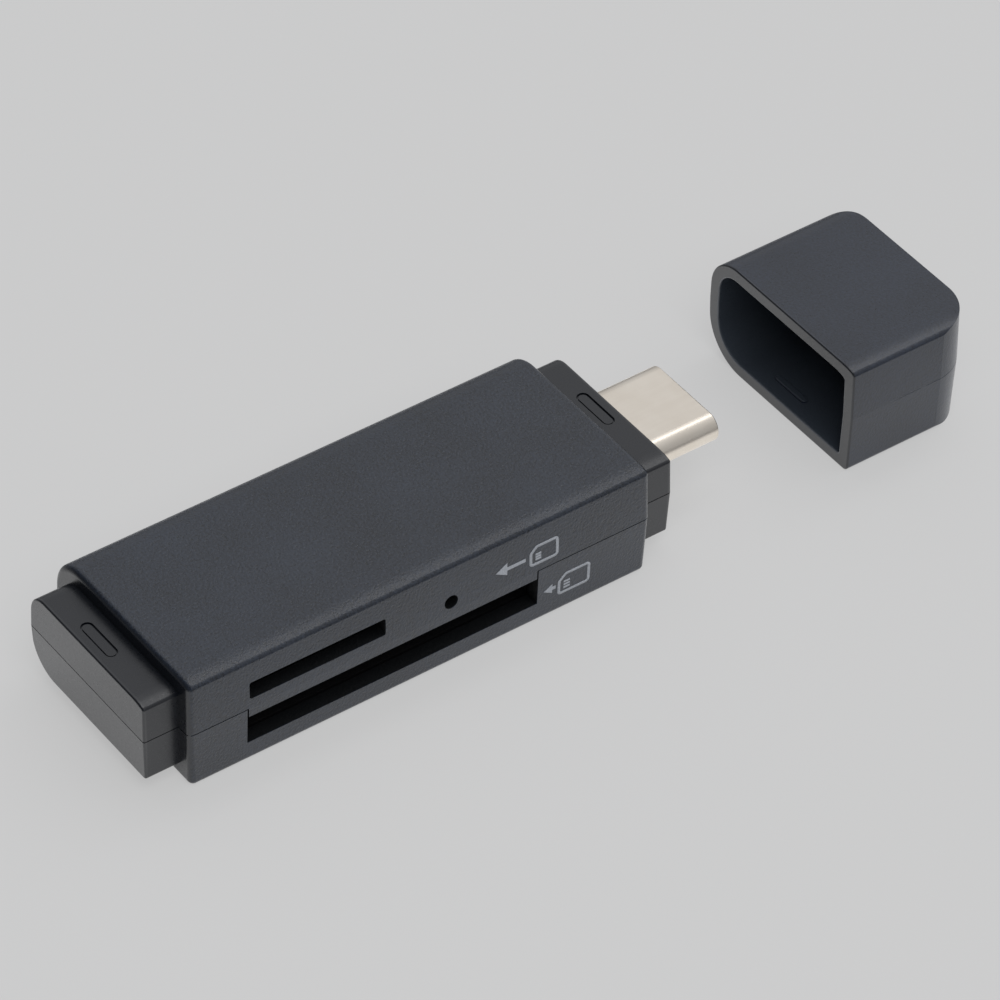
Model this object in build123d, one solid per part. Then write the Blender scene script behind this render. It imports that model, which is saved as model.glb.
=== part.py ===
from build123d import *
import os
from collections import namedtuple
from math import radians, tan

# A pocket memory card reader. Two moulded covers close around a circuit board that carries a large and
# a small card connector, a flat plug and a controller. A pull-off cap covers the plug and can be parked
# on the other end. X runs along the body towards the plug, -Y is the long side with the card slots, and
# Z is up. The origin is the centre of the flat underside. Lengths are in millimetres, angles in degrees.

# Covers
body_width = 17.05
cover_wall = 1.2
upper_draft = 1.3
lower_draft = 2.0
far_top_round = 3.05
far_bottom_round = 4.0
near_top_round = 0.35
near_bottom_round = 0.43
near_roll_width = 1.3
near_roll_drop = 0.22
least_round = 0.25
end_round = 0.45
parting_groove = 0.08

# Large card slot and the stack of pieces below the parting line
large_slot_width = 24.7
large_slot_height = 2.49
slot_rear_margin = 4.83
slot_front_margin = 9.8
frame_floor = 0.56
frame_roof = 0.42
tab_gap = 0.12

# Board, small card slot and the stack of pieces above the parting line
board_thickness = 0.8
board_gap = 0.25
small_slot_width = 11.36
small_slot_height = 1.5
small_slot_offset = 0.21
small_base_thickness = 0.42
shield_thickness = 0.2
head_room = 0.78
slot_corner_round = 0.2

# Light hole in the near side of the top cover
light_hole_diameter = 1.15
light_hole_forward = 17.14
light_hole_rise = 0.95

# Spigots at both ends, with their detent recesses
spigot_length = 2.83
spigot_wall = 0.9
spigot_round = 0.15
detent_length = 4.0
detent_width = 1.0
detent_depth = 0.16
detent_floor = 0.06
detent_line = 0.14
detent_offset = 0.1
detent_aside = 0.25

# Plug
plug_width = 8.25
plug_height = 2.4
plug_reach = 6.7
plug_hidden = 2.6
plug_wall = 0.25
plug_tip_round = 0.12
plug_fit = 0.06
insulator_fit = 0.02
insulator_side = 0.47
insulator_setback = 0.25
insulator_plinth = 1.4
plug_contact_count = 12
plug_contact_fill = 0.5
contact_thickness = 0.2
contact_setback = 0.9
solder_length = 1.4
latch_thickness = 0.25
latch_height = 0.5
latch_bridge = 0.7
latch_bridge_thickness = 0.24
shell_tab_width = 0.6
shell_tab_root = 0.5

# Cap
cap_wall = 1.06
cap_clearance = 0.24
cap_end_wall = 1.2
cap_tip_gap = 1.07
cap_corner_round = 3.75
cap_corner_lap = 0.01
cap_pull = 18.25
cap_rim_round = 0.12
bump_height = 0.18
bump_margin = 0.2
bump_round = 0.12

# Pegs that line up the covers and the board
peg_diameter = 1.6
peg_fit = 0.08
peg_depth = 1.5
boss_diameter = 3.4
peg_margin = 2.2
rib_thickness = 0.8
rib_length = 6.0

# Card connectors
rail_width = 1.0
large_contact_count = 9
large_contact_width = 1.1
small_contact_count = 8
small_contact_width = 0.55
spring_reach = 3.6
spring_dip = 0.55
stop_wall = 0.9
switch_width = 0.6

# Parts on the board
chip_size = 6.0
chip_height = 0.85
crystal_length = 3.2
crystal_width = 2.5
crystal_height = 0.75
regulator_length = 2.9
regulator_width = 1.6
regulator_height = 1.1
lead_width = 0.4
lead_length = 0.6
lead_thickness = 0.15
light_length = 1.6
light_depth = 0.8
light_height = 1.1
passive_length = 1.6
passive_width = 0.8
capacitor_height = 0.8
resistor_height = 0.45
capacitor_pitch = 1.5
resistor_pitch = 2.2
shield_margin = 0.4
capacitor_count = 6
resistor_count = 5
part_spacing = 1.4

# Heights that follow from the stack of pieces
board_bottom = cover_wall + frame_floor + large_slot_height + frame_roof
parting_height = board_bottom + board_thickness / 2
board_top = board_bottom + board_thickness
large_slot_bottom = cover_wall + frame_floor
large_slot_top = large_slot_bottom + large_slot_height
small_slot_bottom = board_top + small_base_thickness
small_slot_top = small_slot_bottom + small_slot_height
shield_top = small_slot_top + shield_thickness
body_height = shield_top + head_room + cover_wall

# Places along the body
body_length = slot_rear_margin + large_slot_width + slot_front_margin
body_end = body_length / 2
cavity_end = body_end - cover_wall
spigot_end = body_end + spigot_length
spigot_inset = cap_wall + cap_clearance
large_slot_start = -body_end + slot_rear_margin
large_slot_stop = large_slot_start + large_slot_width
small_slot_start = large_slot_start + small_slot_offset
small_slot_stop = small_slot_start + small_slot_width
light_hole_x = large_slot_start + light_hole_forward
light_hole_z = parting_height + light_hole_rise
frame_start = large_slot_start - rail_width
frame_stop = large_slot_stop + rail_width
detent_place = body_end + spigot_length / 2 + detent_offset
plug_tip = spigot_end + plug_reach
plug_back = spigot_end - plug_hidden
cap_length = spigot_length + plug_reach + cap_tip_gap + cap_end_wall
cap_mouth = body_end + cap_pull
cap_end = cap_mouth + cap_length

# Places across the body
side = body_width / 2
cavity_side = side - cover_wall
lower_lean = tan(radians(lower_draft)) * (parting_height - cover_wall)
connector_front = -cavity_side + lower_lean + max(near_bottom_round - cover_wall, least_round)
frame_back = cavity_side - lower_lean - max(far_bottom_round - cover_wall, least_round)
board_side = cavity_side - board_gap
peg_x = (frame_stop + cavity_end) / 2
peg_y = board_side - peg_margin

# One entry for each half of the outside: outer face, the way inwards, draft, how far the face has rolled
# off at its near edge, and the rounds of the long edges
Half = namedtuple("Half", "face inwards draft near_drop near_round far_round")
upper = Half(body_height, -1, upper_draft, near_roll_drop, near_top_round, far_top_round)
lower = Half(0, 1, lower_draft, 0, near_bottom_round, far_bottom_round)


def span(x0, x1, y0, y1, z0, z1):
    # A rectangular block between two corners
    return Pos((x0 + x1) / 2, (y0 + y1) / 2, (z0 + z1) / 2) * Box(x1 - x0, y1 - y0, z1 - z0)


def post(x, y, z0, z1, diameter):
    return Pos(x, y, (z0 + z1) / 2) * Cylinder(diameter / 2, z1 - z0)


def level_and_lean(half, inset):
    # Height of the half's face after moving it in, and how far the draft brings the sides in up to there
    level = half.face + half.inwards * inset
    lean = tan(radians(half.draft)) * abs(level - parting_height)
    return level, lean


def trapezium(reach, level, lean):
    # A face between the parting line and a level, narrowed by the lean on both sides
    foot = [(-reach, parting_height), (reach, parting_height)]
    head = [(reach - lean, level), (lean - reach, level)]
    return make_face(Polyline(*foot, *head, close=True))


def rolled_trapezium(reach, level, lean, drop):
    # The same face with a top that rolls off slowly towards its near edge
    start = (lean - reach + near_roll_width, level)
    edge = (lean - reach, level - drop)
    outline = Polyline(edge, (-reach, parting_height), (reach, parting_height), (reach - lean, level), start)
    roll = TangentArc(start, edge, tangent=(-1, 0))
    return make_face([*outline.edges(), *roll.edges()])


def half_section(half, inset):
    # The half's outline across the body, between the parting line and the face, in the YZ plane
    level, lean = level_and_lean(half, inset)
    reach = side - inset
    section = trapezium(reach, level, lean)
    if half.near_drop:
        section = rolled_trapezium(reach, level, lean, half.near_drop)
    near_corner = (lean - reach, level + half.inwards * half.near_drop, 0)
    for at, outer_round in (((reach - lean, level, 0), half.far_round), (near_corner, half.near_round)):
        corner = section.vertices().sort_by_distance(at)[0]
        section = fillet(corner, max(outer_round - inset, least_round))
    return Plane.YZ * section


def half_block(half, length, inset):
    # A half of the body or of both spigots: drafted on the sides and at both ends
    level, lean = level_and_lean(half, inset)
    ends = extrude(Plane.XZ * trapezium(length / 2, level, lean), body_width, both=True)
    return extrude(half_section(half, inset), length, both=True) & ends


def rounded_ends(block, radius):
    # Break the edges around both end faces, apart from the ones at the parting line
    edges = ShapeList()
    for end in (Axis.X, -Axis.X):
        edges += block.faces().sort_by(end)[-1].edges().filter_by(
            lambda edge: abs(edge.center().Z - parting_height) > least_round
        )
    return fillet(edges, radius)


def cover_shell(half):
    # Body and spigots of one half, hollowed from the parting line
    body = rounded_ends(half_block(half, body_length, 0), end_round)
    spigots = rounded_ends(half_block(half, 2 * spigot_end, spigot_inset), spigot_round)
    cavity = half_block(half, 2 * cavity_end, cover_wall)
    spigot_cavity = half_block(half, 2 * (spigot_end - spigot_wall), spigot_inset + spigot_wall)
    return body + spigots - cavity - spigot_cavity


def groove_at_parting():
    # A fine line all round, cut into the upper edge of the bottom cover
    layer = span(-spigot_end, spigot_end, -side, side, parting_height - parting_groove, parting_height)
    layer -= half_block(lower, body_length - 2 * parting_groove, parting_groove)
    return layer - half_block(lower, 2 * (spigot_end - parting_groove), spigot_inset + parting_groove)


def obround(width, height, x0, x1):
    # A bar of the plug's form along X, centred on the parting line
    outline = Plane.YZ * SlotOverall(width, height)
    return Pos(x0, 0, parting_height) * extrude(outline, x1 - x0)


def pill(length, width, x, z, height):
    # A low pill that is long across the body, standing on the plane at z, a little off the middle
    return Pos(x, detent_aside, z) * extrude(SlotOverall(length, width, rotation=90), height)


def detents(half):
    # Recesses for the cap's bumps in the faces of both spigots, each with a deeper line round its floor
    level, _ = level_and_lean(half, spigot_inset)
    floor_level = level + half.inwards * detent_floor
    recesses = Part()
    for x in (-detent_place, detent_place):
        recesses += pill(detent_length, detent_width, x, level, half.inwards * detent_depth)
        recesses -= pill(detent_length - 2 * detent_line, detent_width - 2 * detent_line,
                         x, floor_level, half.inwards * detent_depth)
    return recesses


def near_wall_slot(x0, x1, z0, z1):
    # A cut through the near wall, with rounded corners
    cut = span(x0, x1, -side - cover_wall, -side + 2 * cover_wall, z0, z1)
    return fillet(cut.edges().filter_by(Axis.Y), slot_corner_round)


def near_wall_strip(x0, x1):
    # The part of the lower near wall above the large slot, where the top cover's tab fills the notch
    wall = span(x0, x1, -side, -cavity_side, large_slot_top, parting_height)
    return half_block(lower, body_length, 0) & wall


def plug_opening():
    return obround(plug_width + 2 * plug_fit, plug_height + 2 * plug_fit, plug_back, plug_tip)


def peg_places():
    return [(peg_x, y) for y in (-peg_y, peg_y)]


def rear_rib(z0, z1):
    # A rib on the rear wall that bears on the board's edge
    return span(-cavity_end, -cavity_end + rib_thickness, -rib_length / 2, rib_length / 2, z0, z1)


def top_cover():
    cover = cover_shell(upper)
    cover += near_wall_strip(large_slot_start + tab_gap, large_slot_stop - tab_gap)
    roof = body_height - cover_wall / 2
    for x, y in peg_places():
        cover += post(x, y, board_top, roof, boss_diameter)
        cover -= post(x, y, board_top, board_top + peg_depth + peg_fit, peg_diameter + 2 * peg_fit)
    cover += rear_rib(board_top, roof)
    cover -= near_wall_slot(small_slot_start, small_slot_stop, small_slot_bottom, small_slot_top)
    light_hole = Rot(90, 0, 0) * Cylinder(light_hole_diameter / 2, 4 * cover_wall)
    cover -= Pos(light_hole_x, -side, light_hole_z) * light_hole
    return cover - plug_opening() - detents(upper)


def bottom_cover():
    cover = cover_shell(lower)
    outside = half_block(lower, body_length, 0)
    floor = cover_wall / 2
    for x, y in peg_places():
        cover += post(x, y, floor, board_bottom, boss_diameter) & outside
        cover += post(x, y, floor, board_top + peg_depth, peg_diameter)
    cover += rear_rib(floor, board_bottom)
    notch = span(large_slot_start, large_slot_stop, -side - cover_wall, -side + 2 * cover_wall,
                 large_slot_bottom, parting_height)
    return cover - notch - plug_opening() - detents(lower) - groove_at_parting()


def cap_plan(inset, mouth, end, z):
    # The cap seen from above, with rounded corners at the closed end that run out just past its sides
    reach = side - inset + cap_corner_lap
    plan = make_face(Polyline((mouth, -reach), (end, -reach), (end, reach), (mouth, reach), close=True))
    corners = plan.vertices().group_by(Axis.X)[-1]
    return Pos(0, 0, z) * fillet(corners, cap_corner_round - inset)


def cap_half(half, inset, mouth, end):
    # One half of the cap's outside or inside, drafted like the body
    level, lean = level_and_lean(half, inset)
    plans = [cap_plan(inset, mouth, end, parting_height), cap_plan(inset + lean, mouth, end - lean, level)]
    section = Pos(mouth, 0, 0) * extrude(half_section(half, inset), end - mouth)
    return loft(plans, ruled=True) & section


def cap():
    lead = cover_wall
    outside = cap_half(upper, 0, cap_mouth - lead, cap_end) + cap_half(lower, 0, cap_mouth - lead, cap_end)
    inner_end = cap_end - cap_end_wall
    inside = cap_half(upper, cap_wall, cap_mouth - lead, inner_end)
    inside += cap_half(lower, cap_wall, cap_mouth - lead, inner_end)
    shell = outside - inside
    shell -= span(cap_mouth - 2 * lead, cap_mouth, -body_width, body_width, -body_height, 2 * body_height)
    rim = shell.faces().sort_by(Axis.X)[0]
    shell = fillet(rim.edges(), cap_rim_round)
    for half in (upper, lower):
        level, _ = level_and_lean(half, cap_wall)
        root = level - half.inwards * cap_wall / 2
        bump = pill(detent_length - 2 * bump_margin, detent_width - 2 * bump_margin,
                    cap_mouth + detent_place - body_end, root, half.inwards * (cap_wall / 2 + bump_height))
        crest = max(bump.faces(), key=lambda face: half.inwards * face.center().Z)
        shell += fillet(crest.edges(), bump_round)
    return shell


def circuit_board():
    board_end = cavity_end - board_gap
    board = span(-board_end, board_end, -board_side, board_side, board_bottom, board_top)
    tongue_side = plug_width / 2 + part_spacing
    board += span(0, plug_back - plug_fit, -tongue_side, tongue_side, board_bottom, board_top)
    for x, y in peg_places():
        board -= post(x, y, board_bottom, board_top, peg_diameter + 2 * peg_fit)
    return board


def plug_shell():
    sleeve = obround(plug_width, plug_height, plug_back, plug_tip)
    sleeve = fillet(sleeve.faces().sort_by(Axis.X)[-1].edges(), plug_tip_round)
    sleeve -= obround(plug_width - 2 * plug_wall, plug_height - 2 * plug_wall, plug_back, plug_tip)
    edge = plug_width / 2 - plug_wall / 2
    for way in (-1, 1):
        across = sorted((way * edge, way * (edge - shell_tab_width)))
        sleeve += span(plug_back - solder_length, plug_back + shell_tab_root, *across,
                       board_top, board_top + plug_wall)
    return sleeve


# The plug's cavity for the mating tongue, between the two rows of contacts
cavity_half_height = board_thickness / 2 + contact_thickness
cavity_half_width = plug_width / 2 - plug_wall - insulator_side
plinth_front = plug_back + shell_tab_root + insulator_plinth


def plug_contact_row(way):
    # One row of flat contacts, above the board when way is 1 and below it when way is -1
    width = 2 * (cavity_half_width - latch_thickness)
    pitch = width / (plug_contact_count + 1)
    half_width = pitch * plug_contact_fill / 2
    heights = sorted((parting_height + way * board_thickness / 2, parting_height + way * cavity_half_height))
    contact = span(plug_back - solder_length, plug_tip - contact_setback, -half_width, half_width, *heights)
    middle = (plug_contact_count - 1) / 2
    return Part() + [Pos(0, pitch * (n - middle), 0) * contact for n in range(plug_contact_count)]


def plug_latch():
    # A fork: two side springs in the cavity, joined by a bridge inside the plinth
    fork = span(plinth_front - latch_bridge, plinth_front, -cavity_half_width, cavity_half_width,
                parting_height - latch_bridge_thickness / 2, parting_height + latch_bridge_thickness / 2)
    for way in (-1, 1):
        across = sorted((way * cavity_half_width, way * (cavity_half_width - latch_thickness)))
        fork += span(plinth_front - latch_bridge, plug_tip - contact_setback, *across,
                     parting_height - latch_height / 2, parting_height + latch_height / 2)
    return fork


def plug_insulator():
    width = plug_width - 2 * (plug_wall + insulator_fit)
    height = plug_height - 2 * (plug_wall + insulator_fit)
    core = obround(width, height, plug_back + shell_tab_root, plug_tip - insulator_setback)
    core -= span(plinth_front, plug_tip, -cavity_half_width, cavity_half_width,
                 parting_height - cavity_half_height, parting_height + cavity_half_height)
    return core - plug_contact_row(1) - plug_contact_row(-1) - plug_latch()


def spring_row(count, width, first, last, profile):
    # Like springs at even steps along X, each a bent strip drawn in the YZ plane
    step = (last - first) / count
    strip = extrude(Plane.YZ * profile, width / 2, both=True)
    return Part() + [Pos(first + step * (n + 0.5), 0, 0) * strip for n in range(count)]


def spring_profile(seat, back, way):
    # A strip that lies on a seat, with its solder pad at the back, and dips into the card's path in front
    bend = back - stop_wall - 2 * contact_thickness
    top = seat + way * contact_thickness
    tip = bend - spring_reach
    nose = tip - 2 * contact_thickness
    pad = back + solder_length
    dip = way * spring_dip
    underside = [(pad, seat), (bend, seat), (tip, seat + dip), (nose, seat + dip - way * contact_thickness)]
    upperside = [(nose, seat + dip), (tip, top + dip), (bend, top), (pad, top)]
    return make_face(Polyline(*underside, *upperside, close=True))


def large_card_contacts():
    profile = spring_profile(board_bottom, frame_back, -1)
    return spring_row(large_contact_count, large_contact_width, large_slot_start + rail_width,
                      large_slot_stop - rail_width, profile)


def card_switch_springs():
    # Two strips along the front end of the card's path: one feels the card, the other its lock
    strips = [span(large_slot_stop - contact_thickness, large_slot_stop, y - switch_width, y + switch_width,
                   large_slot_bottom, board_bottom)
              for y in (frame_back - stop_wall - 4 * switch_width, connector_front + 4 * switch_width)]
    return Part() + strips


def large_card_frame():
    frame = span(frame_start, frame_stop, connector_front, frame_back, cover_wall, board_bottom)
    window_back = frame_back - stop_wall
    frame -= span(large_slot_start, large_slot_stop, connector_front - rail_width, window_back,
                  large_slot_bottom, large_slot_top)
    frame -= span(large_slot_start + rail_width, large_slot_stop - rail_width,
                  window_back - 2 * spring_reach, window_back, large_slot_top, board_bottom)
    return frame - large_card_contacts() - card_switch_springs()


shield_start = small_slot_start - rail_width - shield_thickness
shield_stop = small_slot_stop + rail_width + shield_thickness
small_back = frame_back + stop_wall


def small_card_contacts():
    profile = spring_profile(board_top, small_back, 1)
    return spring_row(small_contact_count, small_contact_width, small_slot_start + rail_width,
                      small_slot_stop - rail_width, profile)


def small_card_base():
    start = shield_start + shield_thickness
    stop = shield_stop - shield_thickness
    base = span(start, stop, connector_front, small_back, board_top, small_slot_top)
    window_back = small_back - stop_wall
    base -= span(small_slot_start, small_slot_stop, connector_front - rail_width, window_back,
                 small_slot_bottom, small_slot_top)
    base -= span(small_slot_start + rail_width, small_slot_stop - rail_width,
                 window_back - 2 * spring_reach, window_back, board_top, small_slot_bottom)
    return base - small_card_contacts()


def small_card_shield():
    shield = span(shield_start, shield_stop, connector_front, small_back, board_top, shield_top)
    inside = span(shield_start + shield_thickness, shield_stop - shield_thickness,
                  connector_front - rail_width, small_back + rail_width,
                  board_top - rail_width, small_slot_top)
    return shield - inside


# Places of the parts on the board's upper face, in the room between the small card's shield and the pegs
chip_x = shield_stop + part_spacing + chip_size / 2
beside_chip = chip_x + chip_size / 2 + part_spacing
light_y = -board_side + light_depth


def on_board(x0, y0, length, width, height):
    # A part that sits on the board, from its rear near corner
    return span(x0, x0 + length, y0, y0 + width, board_top, board_top + height)


def controller_chip():
    package = on_board(chip_x - chip_size / 2, -chip_size / 2, chip_size, chip_size, chip_height)
    return chamfer(package.edges().group_by(Axis.Z)[-1], lead_thickness)


def crystal():
    can = on_board(beside_chip, 0, crystal_width, crystal_length, crystal_height)
    return fillet(can.edges().filter_by(Axis.Z), lead_width)


regulator_y = -regulator_width - lead_length - part_spacing


def voltage_regulator():
    package = on_board(beside_chip, regulator_y, regulator_length, regulator_width, regulator_height)
    return chamfer(package.edges().group_by(Axis.Z)[-1], lead_thickness)


def regulator_leads():
    # Three leads on the near edge and two on the far one
    step = (regulator_length - lead_width) / 2
    lead = on_board(beside_chip, regulator_y - lead_length, lead_width, lead_length, lead_thickness)
    across = regulator_width + lead_length
    near_row = [Pos(step * n, 0, 0) * lead for n in (0, 1, 2)]
    far_row = [Pos(step * n, across, 0) * lead for n in (0, 2)]
    return Part() + near_row + far_row


def activity_light():
    lamp = on_board(light_hole_x - light_length / 2, light_y - light_depth / 2,
                    light_length, light_depth, light_height)
    brow = lamp.edges().group_by(Axis.Z)[-1].filter_by(Axis.X).sort_by(Axis.Y)[0]
    return fillet(brow, lead_width)


def capacitors():
    # A row along the board's far edge, beside the chip
    y0 = board_side - part_spacing / 2 - passive_length
    capacitor = on_board(chip_x - chip_size / 2, y0, passive_width, passive_length, capacitor_height)
    return Part() + [Pos(capacitor_pitch * n, 0, 0) * capacitor for n in range(capacitor_count)]


def resistors():
    # A row across the board, behind the small card's shield
    x0 = shield_start - shield_margin - passive_width
    resistor = on_board(x0, -passive_length / 2, passive_width, passive_length, resistor_height)
    middle = (resistor_count - 1) / 2
    return Part() + [Pos(0, resistor_pitch * (n - middle), 0) * resistor for n in range(resistor_count)]


pieces = {
    "top_cover": top_cover(),
    "bottom_cover": bottom_cover(),
    "cap": cap(),
    "circuit_board": circuit_board(),
    "plug_shell": plug_shell(),
    "plug_insulator": plug_insulator(),
    "plug_contacts_upper": plug_contact_row(1),
    "plug_contacts_lower": plug_contact_row(-1),
    "plug_latch": plug_latch(),
    "large_card_frame": large_card_frame(),
    "large_card_contacts": large_card_contacts(),
    "card_switch_springs": card_switch_springs(),
    "small_card_base": small_card_base(),
    "small_card_shield": small_card_shield(),
    "small_card_contacts": small_card_contacts(),
    "controller_chip": controller_chip(),
    "crystal": crystal(),
    "voltage_regulator": voltage_regulator(),
    "regulator_leads": regulator_leads(),
    "activity_light": activity_light(),
    "capacitors": capacitors(),
    "resistors": resistors(),
}

os.makedirs("parts", exist_ok=True)
for name, piece in pieces.items():
    export_step(piece, f"parts/{name}.step")
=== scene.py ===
import math
import bpy
from mathutils import Matrix, Vector


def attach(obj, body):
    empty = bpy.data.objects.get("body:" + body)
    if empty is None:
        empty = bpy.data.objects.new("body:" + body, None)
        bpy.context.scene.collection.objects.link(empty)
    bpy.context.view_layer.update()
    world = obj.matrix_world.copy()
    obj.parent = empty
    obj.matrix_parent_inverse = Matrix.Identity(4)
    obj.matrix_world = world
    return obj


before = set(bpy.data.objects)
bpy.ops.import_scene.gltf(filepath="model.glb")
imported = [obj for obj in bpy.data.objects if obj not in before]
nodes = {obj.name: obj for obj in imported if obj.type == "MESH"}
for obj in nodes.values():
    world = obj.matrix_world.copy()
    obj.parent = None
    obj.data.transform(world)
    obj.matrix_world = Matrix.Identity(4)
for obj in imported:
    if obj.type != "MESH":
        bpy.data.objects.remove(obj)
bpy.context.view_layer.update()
mm = 0.001
print("frame loaded:", len(nodes), "nodes")


class Wire:  # a socket that can be reckoned with
    def __init__(self, tree, socket=None):
        self.tree = tree
        self.socket = socket

    def make(self, kind, settings=None, sockets=None, out=0):  # any node, its settings before its sockets
        node = self.tree.nodes.new(kind)
        for key, value in (settings or {}).items():
            setattr(node, key, value)
        feed(node, sockets or {})
        return Wire(self.tree, node.outputs[out])

    def outputs(self):  # every output of the node behind this wire
        return [Wire(self.tree, socket) for socket in self.socket.node.outputs]

    def reckon(self, operation, first, second=0.0):
        return self.make("ShaderNodeMath", {"operation": operation}, {0: first, 1: second})

    def __add__(self, other):
        return self.reckon("ADD", self, other)

    def __sub__(self, other):
        return self.reckon("SUBTRACT", self, other)

    def __rsub__(self, other):
        return self.reckon("SUBTRACT", other, self)

    def __mul__(self, other):
        return self.reckon("MULTIPLY", self, other)

    def __truediv__(self, other):
        return self.reckon("DIVIDE", self, other)

    def __abs__(self):
        return self.reckon("ABSOLUTE", self)

    def __gt__(self, other):
        return self.reckon("GREATER_THAN", self, other)

    def __lt__(self, other):
        return self.reckon("LESS_THAN", self, other)

    __radd__ = __add__
    __rmul__ = __mul__

    def most(self, other):
        return self.reckon("MAXIMUM", self, other)

    def ramp(self, low, high):  # 0 at low, 1 at high, soft in between; low may be above high
        return self.make("ShaderNodeMapRange", {"interpolation_type": "SMOOTHSTEP"},
                         {"Value": self, "From Min": low, "From Max": high})

    def blend(self, low, high):  # a colour between two, by this wire
        return self.make("ShaderNodeMix", {"data_type": "RGBA"}, {0: self, 6: low, 7: high}, out=2)

    def axes(self):
        return self.make("ShaderNodeSeparateXYZ", None, {0: self}).outputs()

    def dot(self, other):
        return self.make("ShaderNodeVectorMath", {"operation": "DOT_PRODUCT"},
                         {0: self, 1: other}, out="Value")

    def noise(self, size, detail=2.0, rough=0.5):  # noise about 0.5, with features of a size in mm
        return self.make("ShaderNodeTexNoise", None,
                         {"Vector": self, "Scale": 1 / size, "Detail": detail, "Roughness": rough})


def feed(node, sockets):
    for key, value in sockets.items():
        if isinstance(value, Wire):
            value.tree.links.new(value.socket, node.inputs[key])
        else:
            node.inputs[key].default_value = value


def tone(red, green, blue):  # screen colour, 0 to 255, as the light value that shaders use
    return tuple(c / 12.92 if c <= 0.04045 else ((c + 0.055) / 1.055) ** 2.4
                 for c in (red / 255, green / 255, blue / 255)) + (1.0,)


def newFinish(name, fixed):  # a material, its shader, and the place on the piece in millimetres
    material = bpy.data.materials.new(name)
    material.use_nodes = True
    shader = material.node_tree.nodes["Principled BSDF"]
    feed(shader, fixed)
    place = Wire(material.node_tree).make("ShaderNodeTexCoord", out="Object")
    spot = place.make("ShaderNodeVectorMath", {"operation": "SCALE"}, {0: place, "Scale": 1 / mm})
    return material, shader, spot


def relief(height):  # a bump from a height in millimetres
    return height.make("ShaderNodeBump", None, {"Height": height, "Distance": mm, "Strength": 1.0})


def addObject(name, data):
    added = bpy.data.objects.new(name, data)
    bpy.context.scene.collection.objects.link(added)
    return added


def placing(right, up, facing, spot):  # the matrix that puts an object at a spot with these axes
    matrix = Matrix((right, up, facing)).transposed().to_4x4()
    matrix.translation = spot
    return matrix


def nodeEnd(name, axis, end):  # where a node ends along an axis, in mm; end is min or max
    return end(vertex.co[axis] for vertex in nodes[name].data.vertices) / mm


# the covers' measures that the finishes and the signs follow, in mm and degrees
mouldLook = {"side": -nodeEnd("top_cover", 1, min), "spigotEnd": nodeEnd("top_cover", 0, max),
             "bodyEnd": 19.665, "parting": 5.07, "upperDraft": 1.3, "lowerDraft": 2.0}

# moulded plastic with a fine spark texture, smooth where parts slide or meet; sizes in mm
skinLook = {
    "grain": 0.2, "fineGrain": 0.09, "mottle": 7.0, "colourShares": (0.4, 0.35, 0.25),
    "contrast": (0.3, 0.7), "glossSwing": 0.14, "mottleSwing": 0.05, "heightShares": (0.7, 0.3),
}
plasticShine = {"IOR": 1.58, "Coat Roughness": 0.32, "Coat IOR": 1.6}


def sparkSkin(spot, look, textured):
    grain = spot.noise(skinLook["grain"], 1.0)
    fine = spot.noise(skinLook["fineGrain"], 1.0)
    mottle = spot.noise(skinLook["mottle"], 3.0)
    grainShare, fineShare, mottleShare = skinLook["colourShares"]
    shade = (grain * grainShare + fine * fineShare + mottle * mottleShare).ramp(*skinLook["contrast"])
    colour = textured.blend(look["smooth"], shade.blend(look["dark"], look["pale"]))
    swing = (grain + fine - 1.0) * skinLook["glossSwing"] + (mottle - 0.5) * skinLook["mottleSwing"]
    grainHeight, fineHeight = skinLook["heightShares"]
    height = (grain * grainHeight + fine * fineHeight) * textured * look["grainDepth"]
    return colour, swing + look["rough"], height


coverLook = {  # mm; texture and polished run inwards from the ends, the slots' painted shade from the near face
    "dark": tone(6, 11, 20), "pale": tone(37, 45, 58), "smooth": tone(10, 14, 21),
    "rough": 0.31, "grainDepth": 0.045, "texture": (0.05, 0.4), "polish": 0.25, "polished": (0.35, 0.22),
    "inside": tone(10, 12, 14), "insideRough": 0.25, "paintedHollow": (0.02, 0.07),
    "slotHeights": (1.5, 7.65), "slotReach": 19.0,
}


def coverFinish(look):
    material, shader, spot = newFinish("coverPlastic", plasticShine)
    x, y, z = spot.axes()
    textured = (mouldLook["bodyEnd"] - abs(x)).ramp(*look["texture"])
    colour, gloss, height = sparkSkin(spot, look, textured)

    # the slots' and the light hole's walls, behind the drafted near face, take a darker colour: painted
    # shade in the hollows
    upperLean, lowerLean = (math.tan(math.radians(mouldLook[key])) for key in ("upperDraft", "lowerDraft"))
    rise = z - mouldLook["parting"]
    depth = mouldLook["side"] - (rise * upperLean).most(rise * -lowerLean) + y
    low, high = look["slotHeights"]
    nearSlots = (y < 0.0) * (z > low) * (z < high) * (abs(x) < look["slotReach"])
    paintedHollow = depth.ramp(*look["paintedHollow"]) * nearSlots
    colour = paintedHollow.blend(colour, look["inside"])
    polished = (mouldLook["spigotEnd"] - abs(x)).ramp(*look["polished"])  # the spigots' end faces
    feed(shader, {"Base Color": colour, "Roughness": paintedHollow * look["insideRough"] + gloss,
                  "Coat Weight": polished * look["polish"], "Normal": relief(height)})
    return material


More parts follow.
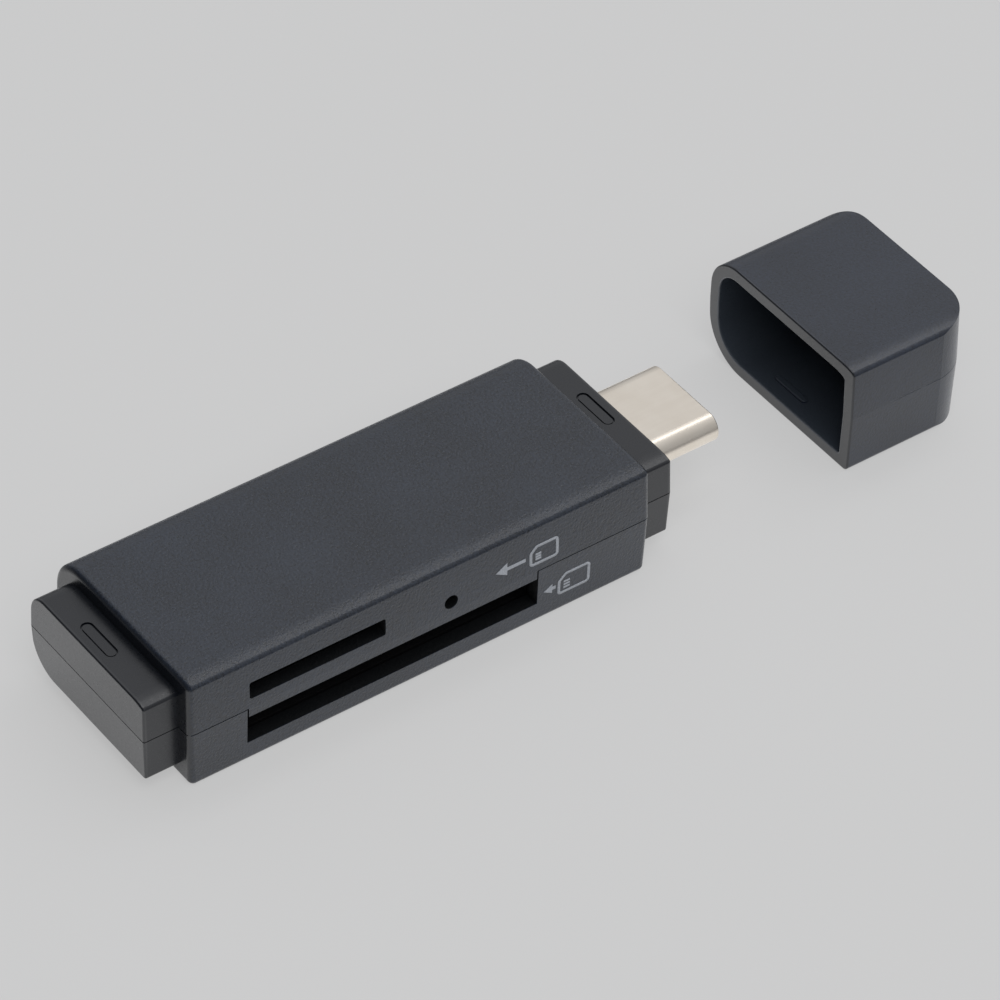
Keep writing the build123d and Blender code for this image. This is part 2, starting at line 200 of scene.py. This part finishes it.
capLook = {  # mm; texture, polished and edgeReach run inwards from the mouth
    "dark": tone(14, 20, 31), "pale": tone(34, 42, 57), "smooth": tone(16, 20, 27),
    "rough": 0.33, "grainDepth": 0.018, "texture": (0.08, 0.2), "polish": 0.2, "polished": (0.08, 0.03),
    # the cap's hollow gets a paler tone than its plastic: painted light inside the hollow
    "mouth": nodeEnd("cap", 0, min), "centre": (43.8, 0.0, 4.8), "inside": tone(52, 58, 66), "inward": -0.1,
    # a pale painted highlight along the rim's inner edge, with its share
    "paintedEdgeHighlight": tone(92, 97, 105), "edgeHighlightShare": 0.7, "edgeOut": (5.5, 4.5), "edgeIn": (-1.0, 0.5), "edgeReach": 0.15,
    "seamWidth": (0.06, 0.024), "seamFrom": (40.5, 44.0), "seamBreaks": 1.3, "seamCut": (0.36, 0.5),
    "seamShade": 0.8, "seamRough": 0.3, "seamDepth": 0.03,
}


def capFinish(look):
    material, shader, spot = newFinish("capPlastic", plasticShine)
    x, _, z = spot.axes()
    fromMouth = x - look["mouth"]
    colour, gloss, height = sparkSkin(spot, look, fromMouth.ramp(*look["texture"]))

    # how far a face looks out from the cap's middle: below zero on the walls of its hollow
    fromCentre = spot.make("ShaderNodeVectorMath", {"operation": "SUBTRACT"}, {0: spot, 1: look["centre"]})
    outward = spot.make("ShaderNodeTexCoord", out="Normal").dot(fromCentre)
    # a painted highlight on the rim's inner edge near the mouth
    innerEdgeHighlight = outward.ramp(*look["edgeOut"]) * outward.ramp(*look["edgeIn"])
    innerEdgeHighlight = innerEdgeHighlight * (fromMouth < look["edgeReach"])
    colour = (innerEdgeHighlight * look["edgeHighlightShare"]).blend(colour, look["paintedEdgeHighlight"])
    # the hollow's walls painted paler, as painted light
    paintedHollow = outward < look["inward"]
    colour = paintedHollow.blend(colour, look["inside"])

    # the mould's line round the outside, which fades out towards the mouth; it takes the same pale tone
    # that is painted into the hollow
    broken = spot.noise(look["seamBreaks"]).ramp(*look["seamCut"])
    shown = broken * x.ramp(*look["seamFrom"]) * (outward > 0.0)
    seam = abs(z - mouldLook["parting"]).ramp(*look["seamWidth"]) * shown
    colour = (seam * look["seamShade"]).blend(colour, look["inside"])
    polished = fromMouth.ramp(*look["polished"])
    feed(shader, {"Base Color": colour, "Roughness": gloss + seam * look["seamRough"],
                  "Coat Weight": polished * look["polish"],
                  "Normal": relief(height - seam * look["seamDepth"])})
    return material


# plug: sleeve with a warm satin nickel plate
plugLook = {  # drawn is the lines' fineness along and across the plug, cloud and depth are in mm
    "tone": tone(229, 221, 209), "warm": tone(222, 213, 200), "contrast": (0.25, 0.75),
    "drawn": (0.2, 3.0, 3.0), "cloud": 2.5, "lineShare": 0.25, "depth": 0.00015,
    "rough": 0.3, "swing": 0.06,
}


def satinNickel(look):
    material, shader, spot = newFinish("plugMetal", {"Metallic": 1.0})
    lines = spot.make("ShaderNodeMapping", None, {0: spot, "Scale": look["drawn"]}).noise(1.0, 3.0)
    shade = lines * look["lineShare"] + spot.noise(look["cloud"]) * (1 - look["lineShare"])
    feed(shader, {"Base Color": shade.ramp(*look["contrast"]).blend(look["warm"], look["tone"]),
                  "Roughness": (lines - 0.5) * look["swing"] + look["rough"],
                  "Normal": relief(lines * look["depth"])})
    return material


finishes = {"coverPlastic": coverFinish(coverLook), "capPlastic": capFinish(capLook),
            "plugMetal": satinNickel(plugLook)}
print("plastic and plug ready")


# inner mouldings, the board, its small parts and the signs' ink; grain in mm
mouldingLook = {
    "blackMoulding": {"dark": (26, 26, 28), "pale": (38, 38, 41), "grain": 0.3, "rough": 0.5},
    "connectorMoulding": {"dark": (9, 9, 10), "pale": (15, 15, 17), "grain": 0.25, "rough": 0.6},
    "chipMoulding": {"dark": (32, 32, 34), "pale": (46, 46, 48), "grain": 0.2, "rough": 0.6},
    "boardLaminate": {"dark": (12, 74, 42), "pale": (22, 96, 56), "grain": 0.5, "rough": 0.35},
    "lampResin": {"dark": (214, 214, 200), "pale": (236, 236, 226), "grain": 0.5, "rough": 0.2},
    "ceramicTan": {"dark": (176, 146, 108), "pale": (200, 172, 132), "grain": 0.2, "rough": 0.4},
    "ceramicBlack": {"dark": (30, 30, 32), "pale": (48, 48, 50), "grain": 0.2, "rough": 0.35},
    "signInk": {"dark": (150, 154, 161), "pale": (172, 176, 183), "grain": 0.12, "rough": 0.5},
}

# stamped springs, the shield and plated contacts
metalLook = {
    "goldContact": {"dark": (222, 180, 96), "pale": (246, 210, 132), "grain": 0.4, "rough": 0.22},
    "springSteel": {"dark": (176, 176, 178), "pale": (206, 206, 208), "grain": 0.5, "rough": 0.3},
    "shieldMetal": {"dark": (186, 186, 188), "pale": (214, 214, 216), "grain": 0.7, "rough": 0.32},
    "tinnedLead": {"dark": (190, 190, 186), "pale": (220, 220, 216), "grain": 0.2, "rough": 0.35},
}
innerSkin = {"contrast": (0.3, 0.7), "swing": 0.12, "depth": 0.02}  # depth as a share of the grain's size


def plainFinish(name, look, metal):
    material, shader, spot = newFinish(name, {"Metallic": metal})
    grain = spot.noise(look["grain"], 3.0, 0.6)
    colour = grain.ramp(*innerSkin["contrast"]).blend(tone(*look["dark"]), tone(*look["pale"]))
    feed(shader, {"Base Color": colour, "Roughness": (grain - 0.5) * innerSkin["swing"] + look["rough"],
                  "Normal": relief(grain * (look["grain"] * innerSkin["depth"]))})
    return material


for looks, metal in ((mouldingLook, 0.0), (metalLook, 1.0)):
    for finishName, look in looks.items():
        finishes[finishName] = plainFinish(finishName, look, metal)

wearers = {  # the nodes that have each finish
    "coverPlastic": ["top_cover", "bottom_cover"], "capPlastic": ["cap"], "plugMetal": ["plug_shell"],
    "blackMoulding": ["plug_insulator"], "connectorMoulding": ["large_card_frame", "small_card_base"],
    "chipMoulding": ["controller_chip", "voltage_regulator"], "boardLaminate": ["circuit_board"],
    "lampResin": ["activity_light"], "ceramicTan": ["capacitors"], "ceramicBlack": ["resistors"],
    "goldContact": ["plug_contacts_upper", "plug_contacts_lower",
                    "large_card_contacts", "small_card_contacts"],
    "springSteel": ["plug_latch", "card_switch_springs"], "shieldMetal": ["small_card_shield", "crystal"],
    "tinnedLead": ["regulator_leads"],
}
for finishName, nodeNames in wearers.items():
    for nodeName in nodeNames:
        for materialSlot in nodes[nodeName].material_slots:
            materialSlot.material = finishes[finishName]
print("finishes set on", sum(map(len, wearers.values())), "nodes")


# printed signs beside the slots: a card with a cut corner and its contacts, and an arrow towards the slot
printLook = {  # mm; corner, inset, bar and shaft are in line widths, clear is a share of the cut
    "line": 0.25, "depth": 0.02, "lift": 0.006, "stripes": 3,
    "corner": 0.9, "inset": (1.6, 1.7), "bar": 0.7, "shaft": 1.2, "clear": 0.6,
}
signLook = {  # mm and degrees; centre is the card's, along the body and up
    "smallCardSign": {"width": 2.3, "height": 1.6, "cut": 0.5, "stripe": 0.5, "arrow": 0.65, "stem": 1.6,
                      "gap": 0.45, "centre": (10.3, 6.63), "draft": mouldLook["upperDraft"]},
    "largeCardSign": {"width": 2.6, "height": 1.75, "cut": 0.55, "stripe": 0.55, "arrow": 0.5, "stem": 0.3,
                      "gap": 0.3, "centre": (13.05, 2.6), "draft": -mouldLook["lowerDraft"]},
}


def signTree(look):
    tree = bpy.data.node_groups.new("cardSign", "GeometryNodeTree")
    for inputName in ("width", "height", "cut", "line", "stripe", "arrow", "stem", "gap", "depth"):
        tree.interface.new_socket(inputName, in_out="INPUT", socket_type="NodeSocketFloat")
    tree.interface.new_socket("stripes", in_out="INPUT", socket_type="NodeSocketInt")
    tree.interface.new_socket("ink", in_out="INPUT", socket_type="NodeSocketMaterial")
    tree.interface.new_socket("Geometry", in_out="OUTPUT", socket_type="NodeSocketGeometry")
    start = Wire(tree).make("NodeGroupInput")
    given = {wire.socket.name: wire for wire in start.outputs()}
    width, height, cut, line, depth = (given[key] for key in ("width", "height", "cut", "line", "depth"))

    def at(x, y, z=0.0):
        return start.make("ShaderNodeCombineXYZ", None, {0: x, 1: y, 2: z})

    # the card's outline: a ring with one point for each corner, the leading upper corner cut off
    corners = [at(width * -0.5, height * -0.5), at(width * 0.5, height * -0.5),
               at(width * 0.5, height * 0.5), at(cut - width * 0.5, height * 0.5),
               at(width * -0.5, height * 0.5 - cut)]
    index = start.make("GeometryNodeInputIndex")
    corner = start.make("GeometryNodeIndexSwitch", {"data_type": "VECTOR"}, {0: index})
    choice = corner.socket.node
    while len(choice.index_switch_items) < len(corners):
        choice.index_switch_items.new()
    feed(choice, {number + 1: place for number, place in enumerate(corners)})
    ring = start.make("GeometryNodeMeshCircle", None, {"Vertices": len(corners)})
    ring = start.make("GeometryNodeSetPosition", None, {"Geometry": ring, "Position": corner})
    path = start.make("GeometryNodeMeshToCurve", None, {"Mesh": ring})
    path = start.make("GeometryNodeFilletCurve", {"mode": "POLY"},
                      {"Curve": path, "Radius": line * look["corner"], "Count": 4})
    section = start.make("GeometryNodeCurvePrimitiveQuadrilateral", None, {"Width": line, "Height": depth})
    outline = start.make("GeometryNodeCurveToMesh", None, {"Curve": path, "Profile Curve": section})

    # contacts along the leading edge
    insetAlong, insetUp = look["inset"]
    first = at(given["stripe"] * 0.5 + line * insetAlong - width * 0.5, line * insetUp - height * 0.5)
    step = (height - line * (2 * insetUp) - cut * look["clear"]) / (given["stripes"] - 1)
    rows = start.make("GeometryNodeMeshLine", {"mode": "OFFSET"},
                      {"Count": given["stripes"], "Start Location": first, "Offset": at(0.0, step)})
    bar = start.make("GeometryNodeMeshCube", None, {"Size": at(given["stripe"], line * look["bar"], depth)})
    bars = start.make("GeometryNodeInstanceOnPoints", None, {"Points": rows, "Instance": bar})

    # an arrow: a stem, and a three-sided plate for its head
    stemEnd = given["gap"] + width * 0.5
    shaft = at(given["stem"], line * look["shaft"], depth)
    stem = start.make("GeometryNodeMeshCube", None, {"Size": shaft})
    stem = start.make("GeometryNodeTransform", None,
                      {"Geometry": stem, "Translation": at((given["stem"] * 0.5 + stemEnd) * -1.0, 0.0)})
    head = start.make("GeometryNodeMeshCylinder", None,
                      {"Vertices": 3, "Radius": given["arrow"], "Depth": depth})
    head = start.make("GeometryNodeTransform", None,
                      {"Geometry": head, "Rotation": (0.0, 0.0, math.pi),
                       "Translation": at((given["stem"] + given["arrow"] * 0.5 + stemEnd) * -1.0, 0.0)})
    whole = start.make("GeometryNodeJoinGeometry", None, {0: outline})
    for wire in (bars, stem, head):
        tree.links.new(wire.socket, whole.socket.node.inputs[0])
    real = start.make("GeometryNodeRealizeInstances", None, {0: whole})
    inked = start.make("GeometryNodeSetMaterial", None, {"Geometry": real, "Material": given["ink"]})
    feed(tree.nodes.new("NodeGroupOutput"), {0: inked})
    return tree


def makeSign(name, look, tree):
    maker = addObject(name + "Maker", bpy.data.meshes.new(name + "Maker"))
    modifier = maker.modifiers.new("sign", "NODES")
    modifier.node_group = tree
    values = {**printLook, **look, "ink": finishes["signInk"]}
    for item in tree.interface.items_tree:
        if item.in_out == "INPUT":
            modifier[item.identifier] = values[item.name]
    evaluated = maker.evaluated_get(bpy.context.evaluated_depsgraph_get())
    mesh = bpy.data.meshes.new_from_object(evaluated)
    maker.modifiers.remove(modifier)
    bpy.data.objects.remove(maker)

    # laid on the near face, which leans by the draft from the parting line on
    draft = math.radians(look["draft"])
    rising = Vector((0, math.sin(draft), math.cos(draft)))
    facing = Vector((0, -math.cos(draft), math.sin(draft)))
    along, height = look["centre"]
    climb = (height - mouldLook["parting"]) / math.cos(draft)
    foot = Vector((along, -mouldLook["side"], mouldLook["parting"]))
    spot = foot + rising * climb + facing * printLook["lift"]
    mesh.transform(Matrix.Scale(mm, 4) @ placing(Vector((1, 0, 0)), rising, facing, spot))
    sign = addObject(name, mesh)
    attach(sign, "reader")
    return sign


cardSign = signTree(printLook)
for signName, look in signLook.items():
    sign = makeSign(signName, look, cardSign)
    print(signName, len(sign.data.polygons), "faces")


# stage: pale floor, soft light, camera; gloss shows the floor as a white sheet that dims away from the part
stageLook = {  # middle, reach and fade in mm, floorSize in metres
    "floorTone": tone(207, 207, 207), "sheetTone": tone(255, 255, 255), "farTone": tone(124, 124, 126),
    "middle": 12.2, "reach": (37.0, 8.5), "fade": (5.0, 28.0), "glow": 0.7, "mirrorGlow": 0.45,
    "floorSize": 3.0,
}


def makeFloor(look):
    mesh = bpy.data.meshes.new("floor")
    half = look["floorSize"] / 2
    corners = [(-half, -half, 0), (half, -half, 0), (half, half, 0), (-half, half, 0)]
    mesh.from_pydata(corners, [], [(0, 1, 2, 3)])
    floor = addObject("floor", mesh)
    material = bpy.data.materials.new("paleFloor")
    material.use_nodes = True
    tree = material.node_tree
    tree.nodes.remove(tree.nodes["Principled BSDF"])
    mirrored = Wire(tree).make("ShaderNodeLightPath", out="Is Glossy Ray")
    x, y, _ = mirrored.make("ShaderNodeTexCoord", out="Object").axes()
    reachAlong, reachAcross = look["reach"]
    away = (abs(x / mm - look["middle"]) - reachAlong).most(abs(y / mm) - reachAcross)
    sheet = away.ramp(*look["fade"]).blend(look["sheetTone"], look["farTone"])
    colour = mirrored.blend(look["floorTone"], sheet)
    matt = mirrored.make("ShaderNodeBsdfDiffuse", None, {"Color": colour})
    glow = mirrored.make("ShaderNodeEmission", None, {"Color": colour, "Strength": 1.0})
    glowShare = mirrored * (look["mirrorGlow"] - look["glow"]) + look["glow"]
    both = mirrored.make("ShaderNodeMixShader", None, {0: glowShare, 1: matt, 2: glow})
    feed(tree.nodes["Material Output"], {"Surface": both})
    mesh.materials.append(material)


makeFloor(stageLook)
worldLook = {"dim": tone(89, 90, 93), "plain": tone(179, 180, 182), "bright": tone(237, 238, 241),
             "plainFrom": (-0.5, 0.2), "towards": (0.6, 0.2, 0.77), "from": 0.2}


def makeWorld(look):  # a soft room, dim behind the rear end and brightest over the plug's end
    world = bpy.data.worlds.new("studio")
    world.use_nodes = True
    bpy.context.scene.world = world
    aim = Vector(look["towards"]).normalized()
    towards = Wire(world.node_tree).make("ShaderNodeTexCoord", out="Generated")
    near = ((towards.dot(aim) - look["from"]) / (1 - look["from"])).most(0.0)
    wall = towards.axes()[0].ramp(*look["plainFrom"]).blend(look["dim"], look["plain"])
    colour = (near * near).blend(wall, look["bright"])
    feed(world.node_tree.nodes["Background"], {"Color": colour, "Strength": 1.0})


makeWorld(worldLook)
lampLook = {  # where the lamp stands and its size in metres, its power in watts, and whether gloss shows it
    "overhead": {"from": (0.3175, 0.151, 0.628), "size": (0.9, 0.16), "power": 0.75, "mirrored": True},
    "fill": {"from": (-0.2, -0.45, 0.72), "size": (0.6, 0.6), "power": 3.4, "mirrored": False},
}


def makeLamp(name, look):
    light = bpy.data.lights.new(name, "AREA")
    light.shape = "RECTANGLE"
    light.size, light.size_y = look["size"]
    light.energy = look["power"]
    lamp = addObject(name, light)
    aim = Vector(look["from"]).normalized()
    along = Vector((1, 0, 0)).cross(aim).cross(aim).normalized() * -1  # its long side lies along the body
    lamp.matrix_world = placing(along, aim.cross(along), aim, look["from"])
    lamp.visible_glossy = look["mirrored"]


for lampName, look in lampLook.items():
    makeLamp(lampName, look)

cameraLook = {  # where the photograph was taken from, in degrees and millimetres
    "azimuth": -36.504, "elevation": 42.094, "roll": 1.239, "distance": 418.28,
    "target": (12.2, -0.581, 4.65), "lens": 210.48, "sensor": 36.0,
}


def makeCamera(look):
    turn, rise, roll = (math.radians(look[key]) for key in ("azimuth", "elevation", "roll"))
    back = Vector((math.sin(turn) * math.cos(rise), -math.cos(turn) * math.cos(rise), math.sin(rise)))
    level = Vector((0, 0, 1)).cross(back).normalized()
    upward = back.cross(level)
    right = level * math.cos(roll) + upward * math.sin(roll)
    up = upward * math.cos(roll) - level * math.sin(roll)
    data = bpy.data.cameras.new("photoCamera")
    data.lens = look["lens"]
    data.sensor_width = look["sensor"]
    camera = addObject("photoCamera", data)
    camera.matrix_world = placing(right, up, back, (Vector(look["target"]) + back * look["distance"]) * mm)
    bpy.context.scene.camera = camera


makeCamera(cameraLook)
bpy.context.scene.view_settings.view_transform = "Standard"
print("stage ready")
